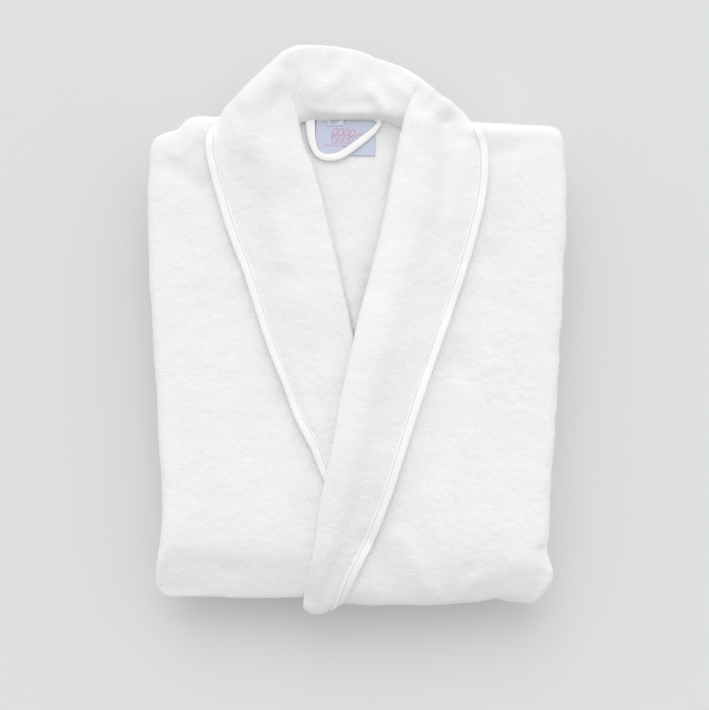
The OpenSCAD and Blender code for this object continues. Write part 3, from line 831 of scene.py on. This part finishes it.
T = spaced(ALONG[0], ALONG[-1], 1.75 * GRAIN)
U = spaced(ACROSS[0], ACROSS[-1], 1.75 * GRAIN)
P = collar_surface(T, U)
lapel_width = np.linalg.norm(NET[:, EDGE_COLUMN, :2] - NET[:, ROLL_COLUMN, :2], axis=1)
thick = np.clip(np.interp(T, ALONG, lapel_width)[:, None] / 12, 1.2, 5.0) * np.ones(P.shape[:2])
o = shell("collar", P, thick, TERRY, side=OUTWARD, seed=61, soft=(1, 1, 1, 0))
follow(o)
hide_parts("collar_back", "lapel_left", "lapel_right", "lapel_tip")


# satin piping bound to the collar's outer edge: its height against its width, and how far it stands outside
# the edge and below it
PIPING_RISE = 0.42
PIPING_OUT, PIPING_DOWN = 2.0, 1.9
# directions and depths in its section of the seam's groove and of a slight second groove
SEAM_ANGLE, SEAM_DEPTH = 4.06, 0.30
TOP_ANGLE, TOP_DEPTH = 1.9, 0.05


def piping_section(n, ang):
    """The piping's rounded box section in n rings, with its grooves and the slanted ribs of satin."""
    k = (np.abs(np.cos(ang)) ** 3.4 + np.abs(np.sin(ang)) ** 3.4) ** (-1 / 3.4)
    for at, depth in ((SEAM_ANGLE, SEAM_DEPTH), (TOP_ANGLE, TOP_DEPTH)):
        k = k * (1 - depth * np.exp(-((ang - at) / 0.11) ** 2))
    return k[None] + 0.010 * np.sin(np.arange(n)[:, None] * 1.9 + ang[None] * 2)


def piping(name, t0, t1, nodes, body, r=4.2):
    """Piping along the collar's edge from t0 to t1. Gives the line of its stitches and their upward axes."""
    t = spaced(t0, t1, 1.5 * GRAIN)
    edge = ACROSS[-1]
    E = collar_surface(t, np.array([edge - 6, edge - 3, edge - 0.8, edge]))
    C, out = E[:, 3].copy(), E[:, 3] - E[:, 1]
    level = smooth(C[:, 1], FOLD_Y - 6, FOLD_Y + 8) * (1 - smooth(C[:, 1], 150, 175))
    out[:, 2] *= 1 - 0.85 * level
    soften(C, 4)
    soften(out, 4)
    ahead = unit(np.gradient(C, axis=0))
    U = square_to(ahead, out)
    W = np.cross(ahead, U)
    C = C + U * PIPING_OUT - W * PIPING_DOWN
    wobble = 1 + 0.045 * noise(C, 14, 71) + 0.03 * noise(C, 5, 72)
    from_end = np.minimum(np.arange(len(t)), np.arange(len(t))[::-1]) * 1.5 * GRAIN
    taper = np.sqrt(np.clip(1 - (1 - np.clip(from_end / 3.0, 0, 1)) ** 2, 0.08, 1))
    o = tube(name, C, U, W, r * wobble * taper, r * PIPING_RISE * wobble * taper, 40, shape=piping_section)
    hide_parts(*nodes)
    follow(o, body)
    row = C + U * (math.cos(SEAM_ANGLE) * r * 1.12) - W * (r * PIPING_RISE * 0.86)
    return row[3:-3], -W[3:-3]


right_row = piping("piping_right_edge", ALONG[0] + 0.5, ALONG[NECK_START],
                   ["piping_right", "piping_tip"], None)
back_row = piping("piping_back_edge", ALONG[NECK_START], ALONG[NECK_END], ["piping_back"], "upper", r=3.6)
left_row = piping("piping_left_edge", ALONG[NECK_END], ALONG[-1] - 4, ["piping_left"], "upper")
for name, row, body in (("stitch_right", right_row, None), ("stitch_left", left_row, "upper"),
                        ("stitch_back", back_row, "upper")):
    o = stitches(name, *row)
    follow(o, body)

# ---------------- sleeves, folded in behind the chest
# the sleeves' inner and outer sides, and their undersides and tops
SLEEVE_X, SLEEVE_Z = (8, 157.5), (38.7, 48.6)
# both ends of the sleeves, of their cuffs and of the piping between
SLEEVE_Y, CUFF_Y, CUFF_PIPING_Y = (-118, 146), (-155.4, -121.8), (-121.3, -118.3)


def flat_tube(name, x0, x1, ends, thick, mat, taper, seed, fuzz=0.8):
    """A flattened tube of cloth lying along Y between its ends, from x0 to x1."""
    y0, y1 = ends
    z0, z1 = SLEEVE_Z
    y = spaced(y0, y1, 3.4 * GRAIN)
    r = (z1 - z0) / 2 - thick / 2
    top = spaced(0, 1, 4.0 * GRAIN / (x1 - x0))
    a = np.linspace(0, math.pi, 9)[1:-1]
    narrowing = (taper * (x1 - x0) * ((y - y0) / (y1 - y0)))[:, None]
    c0, c1 = x0 + thick / 2 + r + narrowing, x1 - thick / 2 - r - narrowing
    X = np.concatenate([c0 + (c1 - c0) * top[None], c1 + r * np.sin(a)[None], c1 + (c0 - c1) * top[None],
                        c0 - r * np.sin(a)[None]], 1)
    middle = (z0 + z1) / 2
    Z = np.concatenate([middle + r + 0 * top, middle + r * np.cos(a), middle - r + 0 * top,
                        middle - r * np.cos(a)])
    P = grid(X, y[:, None], Z)
    P[..., 0] += 0.7 * noise(P, 33, seed)
    return shell(name, P, thick, mat, side=-1, seed=seed, wrap_v=True, soft=(1, 1, 0, 0), fuzz=fuzz)


for side, word in ((-1, "left"), (1, "right")):
    x0, x1 = sorted(side * x for x in SLEEVE_X)
    o = flat_tube(f"sleeve_{word}_cloth", x0, x1, SLEEVE_Y, 3.0, TERRY, 0.02, 81 + side)
    attach(o, "upper", "terry", f"sleeve_{word}")
    shift = (side - 1) / 2
    o = flat_tube(f"cuff_{word}_cloth", x0 + shift, x1 + shift, CUFF_Y, 3.4, TERRY, 0, 85 + side)
    attach(o, "upper", "terry", f"cuff_{word}")
    o = flat_tube(f"cuff_piping_{word}_edge", x0, x1, CUFF_PIPING_Y, 2.6, SATIN, 0, 88 + side, fuzz=0)
    attach(o, "upper", "satin", f"cuff_piping_{word}")

# ---------------- belt and its loops
# the belt lies in three runs, BELT_LAY apart, that turn at +-BELT_TURN
BELT_LAY, BELT_TURN, BELT_Z = 2.7, 148, 41.45
turn_r = BELT_LAY / 2
xs = spaced(-BELT_TURN, BELT_TURN, 4 * GRAIN)
a = np.linspace(-math.pi / 2, math.pi / 2, 7)[1:-1]
turn_x, turn_z = BELT_TURN + turn_r * np.cos(a), BELT_Z + turn_r + turn_r * np.sin(a)
x = np.concatenate([xs, turn_x, xs[::-1], -turn_x, xs])[:, None]
z = np.concatenate([BELT_Z + 0 * xs, turn_z, BELT_Z + BELT_LAY + 0 * xs, turn_z + BELT_LAY,
                    BELT_Z + 2 * BELT_LAY + 0 * xs])[:, None]
ys = np.concatenate([[-203.6, -202.6], spaced(-201, -169, 3 * GRAIN), [-167.4, -166.4]])
P = grid(x, ys[None], z)
o = shell("belt_cloth", P, 2.3, TERRY, side=-1, seed=91, fuzz=0.3, soft=(0, 0, 1, 1))
attach(o, "belt", "terry", "belt")

# each belt loop is a rounded box round the belt; a low power makes its corners tight
LOOP_X, LOOP_Y, LOOP_Z = 72, -184.9, 43.72
LOOP_HALF_Y, LOOP_HALF_Z, LOOP_POWER = 20.3, 4.5, 0.24
for side, word in ((-1, "left"), (1, "right")):
    a = np.linspace(0, 2 * math.pi, 72, endpoint=False)
    y = LOOP_Y + LOOP_HALF_Y * np.sign(np.cos(a)) * np.abs(np.cos(a)) ** LOOP_POWER
    z = LOOP_Z + LOOP_HALF_Z * np.sign(np.sin(a)) * np.abs(np.sin(a)) ** LOOP_POWER
    x = np.array([-4, -3.4, -2, 0, 2, 3.4, 4]) + LOOP_X * side
    P = grid(x[:, None], y, z)
    o = shell(f"belt_loop_{word}_cloth", P, 0.9, TERRY, seed=95, fuzz=0, wrap_v=True, soft=(1, 1, 0, 0))
    attach(o, "upper", "terry", f"belt_loop_{word}")

# ---------------- pockets
POCKET_X, POCKET_Y, POCKET_Z = (26.3, 147.7), (-149.8, -0.3), 19.1
MOUTH_PIPING_X, MOUTH_PIPING_Y = (26.5, 147.5), -151.85
for side, word in ((-1, "left"), (1, "right")):
    x = spaced(*POCKET_X, 3.2 * GRAIN) * side
    y = spaced(*POCKET_Y, 3.2 * GRAIN)
    P = grid(x[:, None], y[None], POCKET_Z)
    o = shell(f"pocket_{word}_cloth", P, 2.9, TERRY, side=side, seed=101 + side, fuzz=0)
    attach(o, "skirt", "terry", f"pocket_{word}")
    x = spaced(*MOUTH_PIPING_X, 1.6 * GRAIN)
    C = grid(x * side, MOUTH_PIPING_Y, POCKET_Z)
    U = np.tile([0.0, -1.0, 0.0], (len(x), 1))
    W = np.cross(np.tile([float(side), 0.0, 0.0], (len(x), 1)), U)
    o = tube(f"pocket_piping_{word}_edge", C, U, W, 1.5, 1.45, 16)
    attach(o, "skirt", "satin", f"pocket_piping_{word}")

# ---------------- label, size tab, hanging loop
LABEL_AT = (-9, 163)
LABEL_COS, LABEL_SIN = math.cos(math.radians(-2)), math.sin(math.radians(-2))
TAB_AT = (-17.6, 176.4)


def on_back(x, y):
    """Height of the back panel's upper surface inside the neck opening."""
    p = grid(x, y, level_z(BACK_LEVEL) + CLOTH)
    return warp(p)[..., 2] + neck_relief(x, y)


def label_point(u, v, above=0.0):
    """A point above the label, u across and v up from its middle, in mm."""
    x = LABEL_AT[0] + u * LABEL_COS - v * LABEL_SIN
    y = LABEL_AT[1] + u * LABEL_SIN + v * LABEL_COS
    z = on_back(x, y) + 0.75 + 0.35 * noise(grid(x, y, 0), 15, 111) + above
    return grid(x, y, z)


def tab_point(u, v, above=0.0):
    """The same for the size tab, which rises a little towards its seam."""
    x, y = TAB_AT[0] + u, TAB_AT[1] + v
    return grid(x, y, on_back(x, y) + 1.75 + 0.05 * v + above)


def motif(name, lines, width, mat, body="upper", point=label_point, above=0.38):
    """Raised threads woven into a tape, each a thin flat rod with five sides along a line."""
    points, sides, caps, start = [], [], [], 0
    section = np.array([(1, 0), (0.5, 1), (-0.5, 1), (-1, 0), (0, -0.6)])
    up = np.array([0, 0, 1.0])
    for line in lines:
        line = np.asarray(line, float)
        length = run_length(line)
        t = np.linspace(0, length[-1], max(3, int(length[-1] / 0.35)))
        C = point(*read_line(t, length, line).T, above)
        S = np.cross(unit(np.gradient(C, axis=0)), up)
        P = C[:, None] + S[:, None] * (section[:, 0] * width / 2)[None, :, None] \
            + up * (section[:, 1] * 0.16)[None, :, None]
        points.append(P.reshape(-1, 3))
        sides.append(quads(len(C), 5, start, True, False))
        caps += [start + np.arange(5), start + (len(C) - 1) * 5 + np.arange(4, -1, -1)]
        start += len(C) * 5
    o = mesh(name, np.concatenate(points), [np.concatenate(sides), np.array(caps)], mat)
    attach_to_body(o, body)


def leaf(cx, cy, length, wide, turn):
    """Outline of a pointed leaf."""
    t = np.linspace(0, 2 * math.pi, 26)
    x, y = length / 2 * np.cos(t), wide / 2 * np.sin(t) * (0.55 + 0.45 * np.abs(np.sin(t)))
    c, s = math.cos(turn), math.sin(turn)
    return np.stack([cx + x * c - y * s, cy + x * s + y * c], 1)


u, v = np.meshgrid(np.linspace(-25.5, 25.5, 64), np.linspace(-14.5, 14.5, 38), indexing="ij")
o = shell("label_tape", label_point(u, v), 0.55, LABEL, fuzz=0, soft=(0, 0, 0, 0))
attach(o, "upper", "label_weave", "label")

# a generic sprig over a row of dashes, in place of what is printed on the real label
stem = np.stack([np.linspace(-12, 9, 24), 1.2 * np.sin(np.linspace(0, 3.2, 24)) + 1.0], 1)
upper_leaves = [leaf(-9 + 4.9 * k, 5.0 - 0.2 * k, 6.6, 3.6, 1.0) for k in range(4)]
lower_leaves = [leaf(-9.5 + 4.9 * k, -2.4 + 0.2 * k, 6.2, 3.4, -1.0) for k in range(4)]
dashes = [[(-17 + 3.1 * k, -6.8), (-15 + 3.1 * k, -6.8)] for k in range(7)]
border = [(-24.6, -13.6), (24.6, -13.6), (24.6, 13.6), (-24.6, 13.6), (-24.6, -13.6)]
sprig = [stem, *upper_leaves, *lower_leaves, leaf(12.2, 1.6, 6.6, 4.0, 0.1)]
motif("label_sprig", sprig, 0.55, LABEL_THREAD)
motif("label_dashes", dashes, 0.9, LABEL_THREAD)
motif("label_edge", [border], 0.35, THREAD, above=0.34)

u, v = np.meshgrid(np.linspace(-7, 7, 26), np.linspace(-3, 3, 12), indexing="ij")
o = shell("size_tab_tape", tab_point(u, v), 0.5, TAB, fuzz=0, soft=(0, 0, 0, 0))
attach(o, "tab", "label_weave", "size_tab")
bars = [[(-4.5, 0.9), (4.0, 0.9)], [(-4.5, -0.9), (1.5, -0.9)]]
motif("size_tab_dashes", bars, 0.5, TAB_THREAD, body="tab", point=tab_point, above=0.34)

# the hanging loop: middle line of its tape from the left root round to the right one
LOOP_LINE = np.array([(-39.4, 181.5), (-39, 177.5), (-38.3, 166.4), (-36.4, 156.8), (-33.6, 150.6),
                      (-29.2, 147.3), (-23, 146.2), (-15.8, 147.2), (-9.2, 150.4), (-2.6, 155), (4.8, 160.5),
                      (12.4, 166.7), (18, 172.6), (20, 176), (17.6, 178.8), (11, 180.5)], float)
length = run_length(LOOP_LINE)
t = spaced(0, length[-1], 1.0 * GRAIN)
middle = hermite(t, length, LOOP_LINE)
soften(middle, 3)
ahead = unit(np.gradient(middle, axis=0))
sideways = np.stack([-ahead[:, 1], ahead[:, 0]], 1)
across_tape = np.linspace(-1, 1, 9)
part = t / length[-1]
half = np.interp(part, [0, 0.12, 0.27, 0.36, 0.5, 0.72, 0.88, 1], [4.1, 3.9, 2.7, 2.8, 3.3, 3.1, 2.3, 1.8])
xy = middle[:, None] + sideways[:, None] * (across_tape[None] * half[:, None])[..., None]
z = on_back(xy[..., 0], xy[..., 1]) + 2.2
z = z + 0.55 * np.sin(part * math.pi)[:, None] + 0.12 * np.cos(across_tape * math.pi)[None]
P = np.concatenate([xy, z[..., None]], -1)
o = shell("hanger_loop_tape", P, 1.1, SATIN, side=-1, fuzz=0, soft=(0, 0, 1, 1))
attach(o, "hanger", "satin", "hanger_loop")

a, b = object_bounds()
